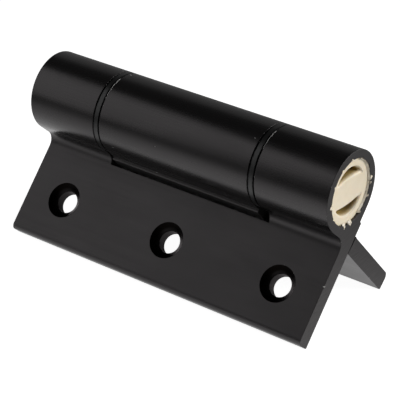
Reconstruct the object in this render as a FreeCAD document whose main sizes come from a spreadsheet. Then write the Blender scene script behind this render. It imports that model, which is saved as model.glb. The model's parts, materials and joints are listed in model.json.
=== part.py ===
import FreeCAD, Part
import math
import os
import Sketcher

# Spring hinge of extruded aluminium, standing on the edges of its two leaves.
# X runs along the barrel, Z is up, and the origin is on the floor below the middle of the barrel.
# The front leaf, with the outer knuckles, leans towards -Y, and the rear leaf towards +Y.

Vector = FreeCAD.Vector

document = FreeCAD.newDocument("SpringHinge")
sheet = document.addObject("Spreadsheet::Sheet", "Sizes")

# Driving sizes, in millimetres
DRIVING_SIZES = [
    ("hinge_length", "120", "length of the barrel and of both leaves"),
    ("middle_knuckle", "60", "length of the rear leaf's knuckle"),
    ("barrel_radius", "14", "outside of the knuckles"),
    ("knuckle_wall", "2.85", "from the bore to the outside of the knuckles"),
    ("groove_depth", "0.6", "V grooves in the bore"),
    ("groove_count", "12", "V grooves around the bore"),
    ("leaf_width", "49.5", "from the barrel's axis to the leaf's free edge"),
    ("leaf_thickness", "6", "plate of the leaf"),
    ("back_rise", "1", "how far the back face stands proud of the barrel"),
    ("back_step", "5.7", "below the barrel's axis, where the back face starts"),
    ("step_corner", "0.5", "rounding of the step at that start"),
    ("root_fillet", "4", "hollow between the barrel and the front face"),
    ("front_corner", "1.9", "rounding of the free edge at the front"),
    ("back_corner", "0.6", "rounding of the free edge at the back"),
    ("notch_clearance", "2.71", "between a knuckle and the floor of its notch"),
    ("stop_clearance", "0.2", "between a notch's corner and the other leaf, along the leaf"),
    ("end_margin", "15.5", "from the outer screw holes to the leaf's ends"),
    ("hole_offset", "0.25", "from the middle of the front face down to the screw holes"),
    ("hole_diameter", "7.7", "for the screw's shank"),
    ("sink_diameter", "12.5", "mouth of the countersink"),
    ("sink_angle", "90", "cone of the countersink, in degrees"),
    ("washer_thickness", "2", "ring between two knuckles"),
    ("washer_gap", "0.4", "on each side of that ring"),
    ("washer_clearance", "0.2", "ring around the plug's journal"),
    ("bearing_clearance", "0.05", "plugs and anchor in the bore"),
    ("spline_relief", "2.5", "from the plug's teeth to the inner end of the outer knuckle"),
    ("journal_length", "12", "stretch of the end plug that runs in the middle knuckle"),
    ("plug_recess", "0.75", "from the barrel's end down to the plug's face"),
    ("rim_wall", "2.65", "around the pockets in the plug's face"),
    ("pocket_depth", "9", "moulded pockets in the plug's face"),
    ("pocket_floor", "2.7", "between the pockets and the pin's bore"),
    ("pocket_corner", "1.1", "rounding of the pockets' corners"),
    ("pocket_height", "3.6", "from the rim to the web at the pockets' middle"),
    ("web_rise", "0.95", "swell of the web's sides towards its middle"),
    ("nose_length", "5.5", "nose that carries the spring's end"),
    ("nose_wall", "1.8", "between the nose and the pin"),
    ("anchor_length", "6", "splined stretch of the spring anchor"),
    ("end_gap", "0.5", "between the left plug's nose and the anchor"),
    ("pin_seat_gap", "0.3", "beyond each end of the pivot pin"),
    ("pin_clearance", "0.02", "pivot pin in the end plugs"),
    ("anchor_clearance", "0.3", "pivot pin in the spring anchor"),
    ("coil_clearance", "0.9", "spring in the bore"),
    ("coil_turns", "3", "turns of the spring at rest"),
    ("coil_gap", "0.3", "between the spring and the shoulders beside it"),
    ("strip_thickness", "1", "spring strip, across the coil"),
    ("strip_gap", "1.2", "between the turns of the spring"),
    ("wind_room", "2.4", "between the spring and the noses, for winding up"),
    ("tang_gap", "0.25", "between the spring's ends and the pin or the slot"),
]

# Sizes and angles that follow from them
DERIVED_SIZES = [
    ("half_length", "=hinge_length / 2", "end of the barrel"),
    ("bore_radius", "=barrel_radius - knuckle_wall", "bore of the extrusion"),
    ("groove_radius", "=bore_radius + groove_depth", "bottom of the V grooves"),
    ("leaf_back", "=barrel_radius + back_rise", "from the barrel's axis to the back face"),
    ("leaf_front", "=leaf_back - leaf_thickness", "from the barrel's axis to the front face"),
    ("root_drop", "=barrel_radius + root_fillet", "where the front face begins"),
    ("notch_depth", "=barrel_radius + notch_clearance", "from the barrel's axis to a notch's floor"),
    ("stop_reach", "=notch_depth - stop_clearance", "where the back faces cross at the stop"),
    ("half_angle", "=atan(leaf_back / stop_reach) / 1 deg", "lean of each leaf at the stop"),
    ("groove_turn", "=half_angle - 360 / groove_count", "angle that sets a groove level at the stop"),
    ("axis_height", "=(leaf_back - back_corner) * sin(half_angle)"
     " + (leaf_width - back_corner) * cos(half_angle) + back_corner", "barrel's axis above the floor"),
    ("hole_pitch", "=half_length - end_margin", "between the screw holes"),
    ("hole_reach", "=(root_drop + leaf_width) / 2 + hole_offset", "from the axis to the screw holes"),
    ("knuckle_face", "=middle_knuckle / 2", "end of the middle knuckle"),
    ("washer_inner", "=knuckle_face + washer_gap", "inner face of the rings"),
    ("washer_outer", "=washer_inner + washer_thickness", "outer face of the rings"),
    ("outer_face", "=washer_outer + washer_gap", "inner end of the outer knuckles"),
    ("insert_radius", "=bore_radius - bearing_clearance", "plugs and anchor between their teeth"),
    ("tooth_radius", "=groove_radius - bearing_clearance", "tips of the teeth"),
    ("plug_face", "=half_length - plug_recess", "outer face of the end plugs"),
    ("spline_length", "=plug_face - outer_face - spline_relief", "splined stretch of the end plug"),
    ("coil_radius", "=insert_radius - coil_clearance", "outside of the spring"),
    ("coil_inside", "=coil_radius - strip_thickness", "inside of the spring"),
    ("nose_radius", "=coil_inside - wind_room", "noses of the plugs and of the anchor"),
    ("pin_radius", "=nose_radius - nose_wall", "pivot pin"),
    ("vee_root", "=(bore_radius + nose_radius) / 2", "where the teeth and grooves start"),
    ("journal_end", "=knuckle_face - journal_length", "shoulder of the plugs"),
    ("nose_end", "=journal_end - nose_length", "inner end of the plugs"),
    ("pin_seat", "=plug_face - pocket_depth - pocket_floor", "bottom of the pin's bore"),
    ("pin_length", "=2 * (pin_seat - pin_seat_gap)", "pivot pin"),
    ("pocket_radius", "=insert_radius - rim_wall", "pockets in the plug's face"),
    ("web_end", "=pocket_radius - pocket_height - web_rise", "half the web, at the rim"),
    ("web_reach", "=sqrt(pocket_radius ^ 2 - web_end ^ 2)", "where the web meets the rim"),
    ("web_curve", "=(web_reach ^ 2 + web_rise ^ 2) / (2 * web_rise)", "radius of the web's sides"),
    ("anchor_back", "=end_gap - nose_end", "left face of the anchor"),
    ("anchor_front", "=anchor_back + anchor_length", "shoulder of the anchor"),
    ("anchor_nose", "=anchor_front + nose_length", "right end of the anchor"),
    ("coil_room", "=journal_end - anchor_front - 2 * coil_gap", "between the shoulders beside the spring"),
    ("strip_width", "=coil_room / (coil_turns + 1) - strip_gap", "spring strip, along the barrel"),
    ("coil_start", "=anchor_front + coil_gap + strip_width / 2", "middle of the strip at the anchor"),
    ("coil_end", "=journal_end - coil_gap - strip_width / 2", "middle of the strip at the plug"),
    ("tang_tip", "=pin_radius + tang_gap", "inner tips of the spring's ends"),
    ("slot_half", "=strip_thickness / 2 + tang_gap", "half the slots for the spring's ends"),
]

for row, (name, content, note) in enumerate(DRIVING_SIZES + DERIVED_SIZES, start=1):
    sheet.set(f"A{row}", note)
    sheet.set(f"B{row}", content)
    sheet.setAlias(f"B{row}", name)
document.recompute()

# Tolerances of the script, in millimetres
NEAR_ZERO = 1e-9
SAME_PLACE = 1e-3


def value(expression):
    """The number that an expression of the sheet gives."""
    result = sheet.evalExpression(expression)
    return float(getattr(result, "Value", result))


def origin_part(body, role):
    """One of the body's own planes or axes."""
    return next(feature for feature in body.Origin.OriginFeatures if feature.Role == role)


def new_body(label, turn="0", end_for_end="0"):
    """A body on the barrel's axis, swapped end for end by 180 degrees if wanted, then turned about it."""
    body = document.addObject("PartDesign::Body", label)
    body.Label = label
    swapped = f"rotation(vector(0; 0; 1); {end_for_end})"
    turned = f"rotation(vector(1; 0; 0); {turn})"
    body.setExpression("Placement", f"placement(vector(0; 0; Sizes.axis_height); {turned} * {swapped})")
    return body


def new_sketch(body, name, role, offset="0", turn="0", turn_axis=Vector(0, 0, 1)):
    """A sketch on one of the body's planes, moved along its normal and turned, mostly about that normal."""
    sketch = body.newObject("Sketcher::SketchObject", name)
    sketch.AttachmentSupport = [(origin_part(body, role), "")]
    sketch.MapMode = "FlatFace"
    sketch.AttachmentOffset = FreeCAD.Placement(
        Vector(0, 0, value(offset)), FreeCAD.Rotation(turn_axis, value(turn))
    )
    sketch.setExpression("AttachmentOffset.Base.z", offset)
    if value(turn):
        sketch.setExpression("AttachmentOffset.Rotation.Angle", turn)
    return sketch


def constrain(sketch, kind, *places, expression):
    """Adds a dimension that follows the sheet."""
    index = sketch.addConstraint(Sketcher.Constraint(kind, *places, value(expression)))
    sketch.setExpression(f"Constraints[{index}]", expression)


def fix_point(sketch, geometry, position, across, up):
    """Holds a point of the sketch at a distance from both of its axes."""
    for kind, axis, expression in (("DistanceX", -2, across), ("DistanceY", -1, up)):
        if abs(value(expression)) < NEAR_ZERO:
            sketch.addConstraint(Sketcher.Constraint("PointOnObject", geometry, position, axis))
        else:
            constrain(sketch, kind, -1, 1, geometry, position, expression=expression)


def draw_circle(sketch, across, up, radius):
    """Draws a circle at a place given by two expressions."""
    centre = Vector(value(across), value(up), 0)
    index = sketch.addGeometry(Part.Circle(centre, Vector(0, 0, 1), value(radius)))
    constrain(sketch, "Radius", index, expression=radius)
    fix_point(sketch, index, 3, across, up)


def draw_outline(sketch, corners, arcs=None):
    """Draws a closed outline through corners, each a pair of expressions.

    arcs gives, for the side that leaves a corner, its centre, its radius and its turn, 1 for anticlockwise.
    """
    points = [Vector(value(across), value(up), 0) for across, up in corners]
    starts = []
    ends = []
    for side, start in enumerate(points):
        end = points[(side + 1) % len(points)]
        if arcs and side in arcs:
            centre_across, centre_up, radius, turn = arcs[side]
            centre = Vector(value(centre_across), value(centre_up), 0)
            low, high = (start, end) if turn > 0 else (end, start)
            low_angle = math.atan2(low.y - centre.y, low.x - centre.x)
            high_angle = math.atan2(high.y - centre.y, high.x - centre.x)
            if high_angle <= low_angle:
                high_angle += 2 * math.pi
            circle = Part.Circle(centre, Vector(0, 0, 1), value(radius))
            index = sketch.addGeometry(Part.ArcOfCircle(circle, low_angle, high_angle))
            constrain(sketch, "Radius", index, expression=radius)
            starts.append((index, 1 if turn > 0 else 2))
            ends.append((index, 2 if turn > 0 else 1))
        else:
            index = sketch.addGeometry(Part.LineSegment(start, end))
            starts.append((index, 1))
            ends.append((index, 2))
    for side, end in enumerate(ends):
        sketch.addConstraint(Sketcher.Constraint("Coincident", *end, *starts[(side + 1) % len(starts)]))
    for start, (across, up) in zip(starts, corners):
        fix_point(sketch, *start, across, up)


def draw_rectangle(sketch, left, right, bottom, top):
    """Draws a rectangle between four expressions."""
    draw_outline(sketch, [(left, bottom), (right, bottom), (right, top), (left, top)])


def extrude(body, kind, sketch, name, length=None, reverse=False, midplane=False):
    """Pads or pockets a sketch, through the whole piece where no length is given."""
    feature = body.newObject(f"PartDesign::{kind}", name)
    feature.Profile = sketch
    feature.Reversed = reverse
    feature.SideType = "Symmetric" if midplane else "One side"
    if length:
        feature.Type = "Length"
        feature.Length = value(length)
        feature.setExpression("Length", length)
    else:
        feature.Type = "ThroughAll"
    document.recompute()
    return feature


def turn_profile(body, corners, name):
    """Turns a half section, given along the barrel and out from its axis, into a round solid."""
    sketch = new_sketch(body, f"{name}_section", "XY_Plane")
    draw_outline(sketch, corners)
    solid = body.newObject("PartDesign::Revolution", name)
    solid.Profile = sketch
    solid.ReferenceAxis = (origin_part(body, "X_Axis"), [""])
    solid.Angle = 360
    document.recompute()
    return solid


def repeat_around(body, feature, name):
    """Repeats a tooth or groove around the barrel's axis."""
    pattern = body.newObject("PartDesign::PolarPattern", name)
    pattern.Originals = [feature]
    pattern.Axis = (origin_part(body, "X_Axis"), [""])
    pattern.Angle = 360
    pattern.Occurrences = int(value("Sizes.groove_count"))
    pattern.setExpression("Occurrences", "Sizes.groove_count")
    body.Tip = pattern
    document.recompute()


def draw_vee(sketch, tip):
    """Draws a right-angled V that points away from the axis and starts well inside the bore."""
    depth = f"({tip} - Sizes.vee_root)"
    draw_outline(sketch, [("Sizes.vee_root", f"-{depth}"), (tip, "0"), ("Sizes.vee_root", depth)])


def add_teeth(body, face, length):
    """Adds the spline teeth from a face towards -X."""
    sketch = new_sketch(body, f"{body.Label}_tooth_section", "YZ_Plane", face)
    draw_vee(sketch, "Sizes.tooth_radius")
    tooth = extrude(body, "Pad", sketch, f"{body.Label}_tooth", length, reverse=True)
    repeat_around(body, tooth, f"{body.Label}_teeth")


def draw_slot(body, face, turn="0"):
    """Draws the slot for the spring's end across the free face of a nose."""
    sketch = new_sketch(body, f"{body.Label}_slot_section", "YZ_Plane", face, turn)
    reach = "Sizes.nose_radius + Sizes.tang_gap"
    draw_rectangle(sketch, f"-({reach})", reach, "-Sizes.slot_half", "Sizes.slot_half")
    return sketch


def draw_leaf_profile(sketch, side):
    """Draws the extrusion's section: barrel, root and plate, with the back face on the given side of Y."""
    front = f"{side} * Sizes.leaf_front"
    back = f"{side} * Sizes.leaf_back"
    barrel = f"{side} * Sizes.barrel_radius"
    corners = [
        (barrel, "0"),
        ("0", "-Sizes.barrel_radius"),
        (f"{side} * (Sizes.leaf_front - Sizes.root_fillet)", "-Sizes.barrel_radius"),
        (front, "-Sizes.root_drop"),
        (front, "Sizes.front_corner - Sizes.leaf_width"),
        (f"{side} * (Sizes.leaf_front + Sizes.front_corner)", "-Sizes.leaf_width"),
        (f"{side} * (Sizes.leaf_back - Sizes.back_corner)", "-Sizes.leaf_width"),
        (back, "Sizes.back_corner - Sizes.leaf_width"),
        (back, "-Sizes.back_step - Sizes.step_corner"),
        (f"{side} * (Sizes.leaf_back - Sizes.step_corner)", "-Sizes.back_step"),
        (barrel, "-Sizes.back_step"),
    ]
    arcs = {
        0: ("0", "0", "Sizes.barrel_radius", side),
        2: (corners[2][0], "-Sizes.root_drop", "Sizes.root_fillet", -side),
        4: (corners[5][0], corners[4][1], "Sizes.front_corner", side),
        6: (corners[6][0], corners[7][1], "Sizes.back_corner", side),
        8: (corners[9][0], corners[8][1], "Sizes.step_corner", side),
    }
    draw_outline(sketch, corners, arcs)
    draw_circle(sketch, "0", "0", "Sizes.bore_radius")


def make_leaf(label, side, notches):
    """A length of the extrusion with its knuckles cut free and its screw holes sunk."""
    leaf = new_body(label, f"-({side}) * Sizes.half_angle")
    profile = new_sketch(leaf, f"{label}_profile", "YZ_Plane")
    draw_leaf_profile(profile, side)
    extrude(leaf, "Pad", profile, f"{label}_extrusion", "Sizes.hinge_length", midplane=True)

    vee = new_sketch(leaf, f"{label}_groove_section", "YZ_Plane", turn=f"{side} * Sizes.groove_turn")
    draw_vee(vee, "Sizes.groove_radius")
    groove = extrude(leaf, "Pocket", vee, f"{label}_groove", midplane=True)
    repeat_around(leaf, groove, f"{label}_grooves")

    cuts = new_sketch(leaf, f"{label}_notch_outline", "XZ_Plane")
    for left, right in notches:
        draw_rectangle(cuts, left, right, "-Sizes.notch_depth", "Sizes.barrel_radius + Sizes.leaf_back")
    extrude(leaf, "Pocket", cuts, f"{label}_notch", midplane=True)

    centres = new_sketch(leaf, f"{label}_hole_centres", "XZ_Plane", f"-({side}) * Sizes.leaf_front")
    for across in ("-Sizes.hole_pitch", "0", "Sizes.hole_pitch"):
        draw_circle(centres, across, "-Sizes.hole_reach", "Sizes.hole_diameter / 2")
    document.recompute()
    holes = leaf.newObject("PartDesign::Hole", f"{label}_screw_holes")
    holes.Profile = centres
    document.recompute()
    holes.Threaded = False
    holes.DepthType = "ThroughAll"
    holes.Reversed = side < 0
    holes.HoleCutType = "Countersink"
    holes.HoleCutCustomValues = True
    for setting, expression in (
        ("Diameter", "Sizes.hole_diameter"),
        ("HoleCutDiameter", "Sizes.sink_diameter"),
        ("HoleCutCountersinkAngle", "Sizes.sink_angle"),
    ):
        setattr(holes, setting, value(expression))
        holes.setExpression(setting, expression)
    document.recompute()
    return leaf


def pocket_corner_edges(shape):
    """Names of the edges along the barrel where the web meets the pockets' rim."""
    names = []
    for number, edge in enumerate(shape.Edges, start=1):
        middle = edge.CenterOfMass
        at_web_end = abs(abs(middle.z) - value("Sizes.web_end")) < SAME_PLACE
        at_rim = abs(abs(middle.y) - value("Sizes.web_reach")) < SAME_PLACE
        if at_web_end and at_rim:
            names.append(f"Edge{number}")
    return names


def make_end_plug(label, end_for_end):
    """The moulded plug of one end: splined body with two pockets, journal and nose."""
    plug = new_body(label, end_for_end=end_for_end)
    pin_bore = "Sizes.pin_radius + Sizes.pin_clearance"
    turn_profile(
        plug,
        [
            ("Sizes.plug_face", "0"),
            ("Sizes.plug_face", "Sizes.insert_radius"),
            ("Sizes.journal_end", "Sizes.insert_radius"),
            ("Sizes.journal_end", "Sizes.nose_radius"),
            ("Sizes.nose_end", "Sizes.nose_radius"),
            ("Sizes.nose_end", pin_bore),
            ("Sizes.pin_seat", pin_bore),
            ("Sizes.pin_seat", "0"),
        ],
        f"{label}_body",
    )
    add_teeth(plug, "Sizes.plug_face", "Sizes.spline_length")

    slot = draw_slot(plug, "Sizes.nose_end", "-360 * Sizes.coil_turns")
    extrude(plug, "Pocket", slot, f"{label}_slot", "Sizes.nose_length", reverse=True)

    pockets = new_sketch(plug, f"{label}_pocket_outline", "YZ_Plane", "Sizes.plug_face")
    web_centre = "(Sizes.web_end + Sizes.web_rise - Sizes.web_curve)"
    for side in (1, -1):
        web_end = f"{side} * Sizes.web_end"
        draw_outline(
            pockets,
            [(f"{side} * Sizes.web_reach", web_end), (f"-({side}) * Sizes.web_reach", web_end)],
            {
                0: ("0", "0", "Sizes.pocket_radius", 1),
                1: ("0", f"{side} * {web_centre}", "Sizes.web_curve", -1),
            },
        )
    hollow = extrude(plug, "Pocket", pockets, f"{label}_pockets", "Sizes.pocket_depth")

    corners = plug.newObject("PartDesign::Fillet", f"{label}_pocket_corners")
    corners.Base = (hollow, pocket_corner_edges(hollow.Shape))
    corners.Radius = value("Sizes.pocket_corner")
    corners.setExpression("Radius", "Sizes.pocket_corner")
    document.recompute()
    return plug


def make_washer(label, end_for_end):
    """The ring between an outer knuckle and the middle one, around the plug's journal."""
    washer = new_body(label, end_for_end=end_for_end)
    section = new_sketch(washer, f"{label}_section", "YZ_Plane", "Sizes.washer_inner")
    draw_circle(section, "0", "0", "Sizes.barrel_radius")
    draw_circle(section, "0", "0", "Sizes.insert_radius + Sizes.washer_clearance")
    extrude(washer, "Pad", section, f"{label}_ring", "Sizes.washer_thickness")
    return washer


def make_spring_anchor(label):
    """The splined ring in the middle knuckle that holds the spring's left end."""
    anchor = new_body(label)
    bore = "Sizes.pin_radius + Sizes.anchor_clearance"
    turn_profile(
        anchor,
        [
            ("Sizes.anchor_back", bore),
            ("Sizes.anchor_nose", bore),
            ("Sizes.anchor_nose", "Sizes.nose_radius"),
            ("Sizes.anchor_front", "Sizes.nose_radius"),
            ("Sizes.anchor_front", "Sizes.insert_radius"),
            ("Sizes.anchor_back", "Sizes.insert_radius"),
        ],
        f"{label}_body",
    )
    add_teeth(anchor, "Sizes.anchor_front", "Sizes.anchor_length")
    slot = draw_slot(anchor, "Sizes.anchor_nose")
    extrude(anchor, "Pocket", slot, f"{label}_slot", "Sizes.nose_length")
    return anchor


def make_pin(label):
    """The steel pin through both end plugs."""
    pin = new_body(label)
    section = new_sketch(pin, f"{label}_section", "YZ_Plane")
    draw_circle(section, "0", "0", "Sizes.pin_radius")
    extrude(pin, "Pad", section, f"{label}_rod", "Sizes.pin_length", midplane=True)
    return pin


def make_spring(label):
    """The coil of flat strip, with both ends turned in towards the pin."""
    spring = new_body(label)
    section = new_sketch(spring, f"{label}_section", "XY_Plane")
    half_width = "Sizes.strip_width / 2"
    draw_rectangle(
        section,
        f"Sizes.coil_start - {half_width}",
        f"Sizes.coil_start + {half_width}",
        "Sizes.coil_inside",
        "Sizes.coil_radius",
    )
    document.recompute()
    coil = spring.newObject("PartDesign::AdditiveHelix", f"{label}_coil")
    coil.Profile = section
    coil.ReferenceAxis = (origin_part(spring, "X_Axis"), [""])
    coil.Mode = "height-turns-angle"
    coil.LeftHanded = True
    coil.setExpression("Height", "Sizes.coil_end - Sizes.coil_start")
    coil.setExpression("Turns", "Sizes.coil_turns")
    document.recompute()
    for end, place, turn in (
        ("left", "Sizes.coil_start", "0"),
        ("right", "Sizes.coil_end", "-360 * Sizes.coil_turns"),
    ):
        outline = new_sketch(spring, f"{label}_{end}_tang_outline", "XY_Plane", "0", turn, Vector(1, 0, 0))
        draw_rectangle(
            outline,
            f"{place} - {half_width}",
            f"{place} + {half_width}",
            "Sizes.tang_tip",
            "Sizes.coil_inside + Sizes.strip_thickness / 2",
        )
        extrude(spring, "Pad", outline, f"{label}_{end}_tang", "Sizes.strip_thickness", midplane=True)
    return spring


frame_leaf = make_leaf("frame_leaf", 1, [("-Sizes.outer_face", "Sizes.outer_face")])
past_end = "Sizes.half_length + Sizes.leaf_thickness"
door_leaf = make_leaf(
    "door_leaf",
    -1,
    [(f"-({past_end})", "-Sizes.knuckle_face"), ("Sizes.knuckle_face", past_end)],
)
pieces = [
    frame_leaf,
    door_leaf,
    make_end_plug("right_end_plug", "0"),
    make_end_plug("left_end_plug", "180"),
    make_washer("right_thrust_washer", "0"),
    make_washer("left_thrust_washer", "180"),
    make_pin("pivot_pin"),
    make_spring_anchor("spring_anchor"),
    make_spring("torsion_spring"),
]

document.recompute()
for feature in document.Objects:
    if "Invalid" in feature.State or "Error" in feature.State:
        raise RuntimeError(f"{feature.Name} failed: {feature.State}")
for piece in pieces:
    if piece.Shape.isNull() or not piece.Shape.isValid():
        raise RuntimeError(f"{piece.Label} has no valid shape")

os.makedirs("parts", exist_ok=True)
for piece in pieces:
    piece.Shape.exportStep(f"parts/{piece.Label}.step")
    print(f"{piece.Label}: {piece.Shape.Volume:.1f} cubic millimetres")
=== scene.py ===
import json
import math

import bpy
from bpy.props import FloatProperty, FloatVectorProperty, PointerProperty
from mathutils import Matrix, Vector

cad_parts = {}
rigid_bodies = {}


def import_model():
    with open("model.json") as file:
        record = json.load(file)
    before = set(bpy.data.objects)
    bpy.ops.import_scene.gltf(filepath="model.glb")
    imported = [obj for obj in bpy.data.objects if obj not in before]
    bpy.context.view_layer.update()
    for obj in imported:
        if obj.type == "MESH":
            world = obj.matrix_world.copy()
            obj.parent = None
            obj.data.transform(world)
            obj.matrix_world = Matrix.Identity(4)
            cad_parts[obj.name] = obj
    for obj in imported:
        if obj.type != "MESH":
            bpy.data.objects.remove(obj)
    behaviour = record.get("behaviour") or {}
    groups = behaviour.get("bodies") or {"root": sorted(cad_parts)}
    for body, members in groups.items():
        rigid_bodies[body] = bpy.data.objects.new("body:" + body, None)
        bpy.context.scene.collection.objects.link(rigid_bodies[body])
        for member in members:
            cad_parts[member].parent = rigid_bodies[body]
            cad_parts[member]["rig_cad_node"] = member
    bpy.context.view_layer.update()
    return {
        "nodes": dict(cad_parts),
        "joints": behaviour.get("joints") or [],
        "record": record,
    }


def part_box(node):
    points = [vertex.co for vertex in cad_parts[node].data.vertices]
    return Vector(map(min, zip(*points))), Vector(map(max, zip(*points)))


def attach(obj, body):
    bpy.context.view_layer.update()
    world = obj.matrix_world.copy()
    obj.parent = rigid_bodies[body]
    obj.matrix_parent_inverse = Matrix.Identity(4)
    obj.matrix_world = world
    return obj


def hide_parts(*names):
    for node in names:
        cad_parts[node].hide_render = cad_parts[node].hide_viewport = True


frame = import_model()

bl_info = {
    "name": "Spring Hinge",
    "version": (1, 0, 0),
    "blender": (4, 5, 0),
    "location": "View3D > Sidebar > Spring Hinge",
    "description": "Dresses the spring hinge and sets it on a studio floor",
    "category": "Object",
}

MM = 0.001
SAME_PLACE = 0.001 * MM
FLOOR_RIM = 0.1

# Width of the camera's sensor, in millimetres as the focal length is
SENSOR_WIDTH = 36.0

# Steps and sides of round stretches, and degrees for each step of a sweep about the barrel
MOUTH_STEPS = 8
RIM_STEPS = 36
WEB_STEPS = 24
CORNER_STEPS = 8
DISH_STEPS = 8
DISH_SIDES = 72
TEAR_SIDES = 10
TEAR_CUTS = 3
BURR_SIDES = 8
FLOOR_SIDES = 96
BURR_STEP = 1.0
SMEAR_STEP = 2.0

# Widest angles, in degrees, across which neighbouring faces are shaded as one
PLUG_SMOOTH = 35.0
TEAR_SMOOTH = 40.0
CHIP_SMOOTH = 30.0
BURR_SMOOTH = 50.0

# Share of a tear's width that is left at its tip, and a chip's length, width and thickness against its size
TEAR_TIP = 0.06
CHIP_FORM = (1.0, 0.6, 0.18)

# Sizes that come from the solids and their record, in metres
WASHER_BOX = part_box("right_thrust_washer")
PLUG_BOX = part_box("right_end_plug")
SCREWS = frame["record"]["mounts"][0]
BARREL_AXIS = Vector(frame["joints"][0]["pos_m"])
BARREL_RADIUS = (WASHER_BOX[1][2] - WASHER_BOX[0][2]) / 2.0
HALF_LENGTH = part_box("frame_leaf")[1][0]
PLUG_FACE = PLUG_BOX[1][0]
TOOTH_RADIUS = (PLUG_BOX[1][2] - PLUG_BOX[0][2]) / 2.0
SCREW_PLACE = Vector(SCREWS["pos_m"])
SCREW_AXIS = Vector(SCREWS["axis"])
SCREW_PITCH = SCREWS["dims"]["pcd_mm"] * MM
WASHER_MIDDLE = (WASHER_BOX[0][0] + WASHER_BOX[1][0]) / 2.0
WASHER_HALF = (WASHER_BOX[1][0] - WASHER_BOX[0][0]) / 2.0

# Stretches over which a finish, painted shade and the floor's painted light change, from one distance in
# metres to another:
# from the barrel's axis, from the middle of the barrel, from a screw's axis, from the washer's middle, and on
# the floor
BARREL_FINISH = (BARREL_RADIUS + 1.5 * MM, BARREL_RADIUS + 0.3 * MM)
GREASED = (HALF_LENGTH - 18.0 * MM, HALF_LENGTH - 20.0 * MM)
HOLE_SHADE = (3.6 * MM, 5.0 * MM)
HOLE_GLOSS = (3.9 * MM, 4.3 * MM)
WASHER_SHADED_RIM = (WASHER_HALF - 0.35 * MM, WASHER_HALF - 0.15 * MM)
FLOOR_FADE = (0.07, 0.24)
FLOOR_UNDER = (0.02, 0.05)
FLOOR_FRONT = (0.02, -0.02)

# Cosines between directions: from a face to its softened edge, from the barrel's axis to a sawn face, and
# from a screw's axis to the wall of its hole
EDGE_TURN = (0.995, 0.93)
SAWN_TURN = (0.90, 0.96)
WALL_TURN = 0.9


class HingeFinishSettings(bpy.types.PropertyGroup):
    """Colours and textures of the hinge."""

    anodised: FloatVectorProperty(
        name="Anodised black",
        description="Colour under the gloss of the extruded leaves",
        subtype="COLOR",
        default=(0.0012, 0.0011, 0.00115),
    )
    anodised_gloss: FloatVectorProperty(
        name="Anodised gloss",
        description="Tint of the gloss on the extruded leaves",
        subtype="COLOR",
        default=(1.0, 0.945, 0.965),
    )
    sawn: FloatVectorProperty(
        name="Sawn ends",
        description="Colour of the cut ends of the extrusion",
        subtype="COLOR",
        default=(0.014, 0.014, 0.0135),
    )
    # Near black; where the countersinks' walls turn metallic it also colours their painted shade
    turned: FloatVectorProperty(
        name="Turned holes",
        description="Colour inside the countersunk holes",
        subtype="COLOR",
        default=(0.0035, 0.0028, 0.0024),
    )
    bare_metal: FloatVectorProperty(
        name="Bare aluminium",
        description="Colour where the anodised layer is chipped",
        subtype="COLOR",
        default=(0.62, 0.61, 0.60),
    )
    cream: FloatVectorProperty(
        name="Cream plastic",
        description="Colour of the moulded plugs",
        subtype="COLOR",
        default=(0.80, 0.71, 0.55),
    )
    # Painted shade: the plugs' colour deep in their pockets, where the pocket walls shade them
    cream_painted_shade: FloatVectorProperty(
        name="Cream plastic, deep",
        description="Colour of the moulded plugs deep in their pockets",
        subtype="COLOR",
        default=(0.45, 0.32, 0.095),
    )
    washer_black: FloatVectorProperty(
        name="Washer black",
        description="Colour of the thrust washers",
        subtype="COLOR",
        default=(0.004, 0.004, 0.0042),
    )
    grease: FloatVectorProperty(
        name="Grease",
        description="Colour of the plugs where they turn inside the barrel",
        subtype="COLOR",
        default=(0.006, 0.005, 0.004),
    )
    steel: FloatVectorProperty(
        name="Steel",
        description="Colour of the pin",
        subtype="COLOR",
        default=(0.55, 0.55, 0.56),
    )
    spring_steel: FloatVectorProperty(
        name="Spring steel",
        description="Colour of the coil",
        subtype="COLOR",
        default=(0.30, 0.30, 0.32),
    )
    edge_radius: FloatProperty(
        name="Edge radius",
        description="Softness of the extrusion's cut edges",
        subtype="DISTANCE",
        default=0.25 * MM,
    )
    moulded_radius: FloatProperty(
        name="Moulded radius",
        description="Softness of the moulded plugs' edges",
        subtype="DISTANCE",
        default=0.4 * MM,
    )
    # Reach of the painted shade that darkens the plugs deep in their pockets
    shade_reach: FloatProperty(
        name="Shade reach",
        description="How far around a point on the plugs the walls of a pocket deepen its colour",
        subtype="DISTANCE",
        default=9.0 * MM,
    )
    countersink_radius: FloatProperty(
        name="Countersink radius",
        description="Reach of the machined finish around the screws' axes",
        subtype="DISTANCE",
        default=6.4 * MM,
    )


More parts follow.
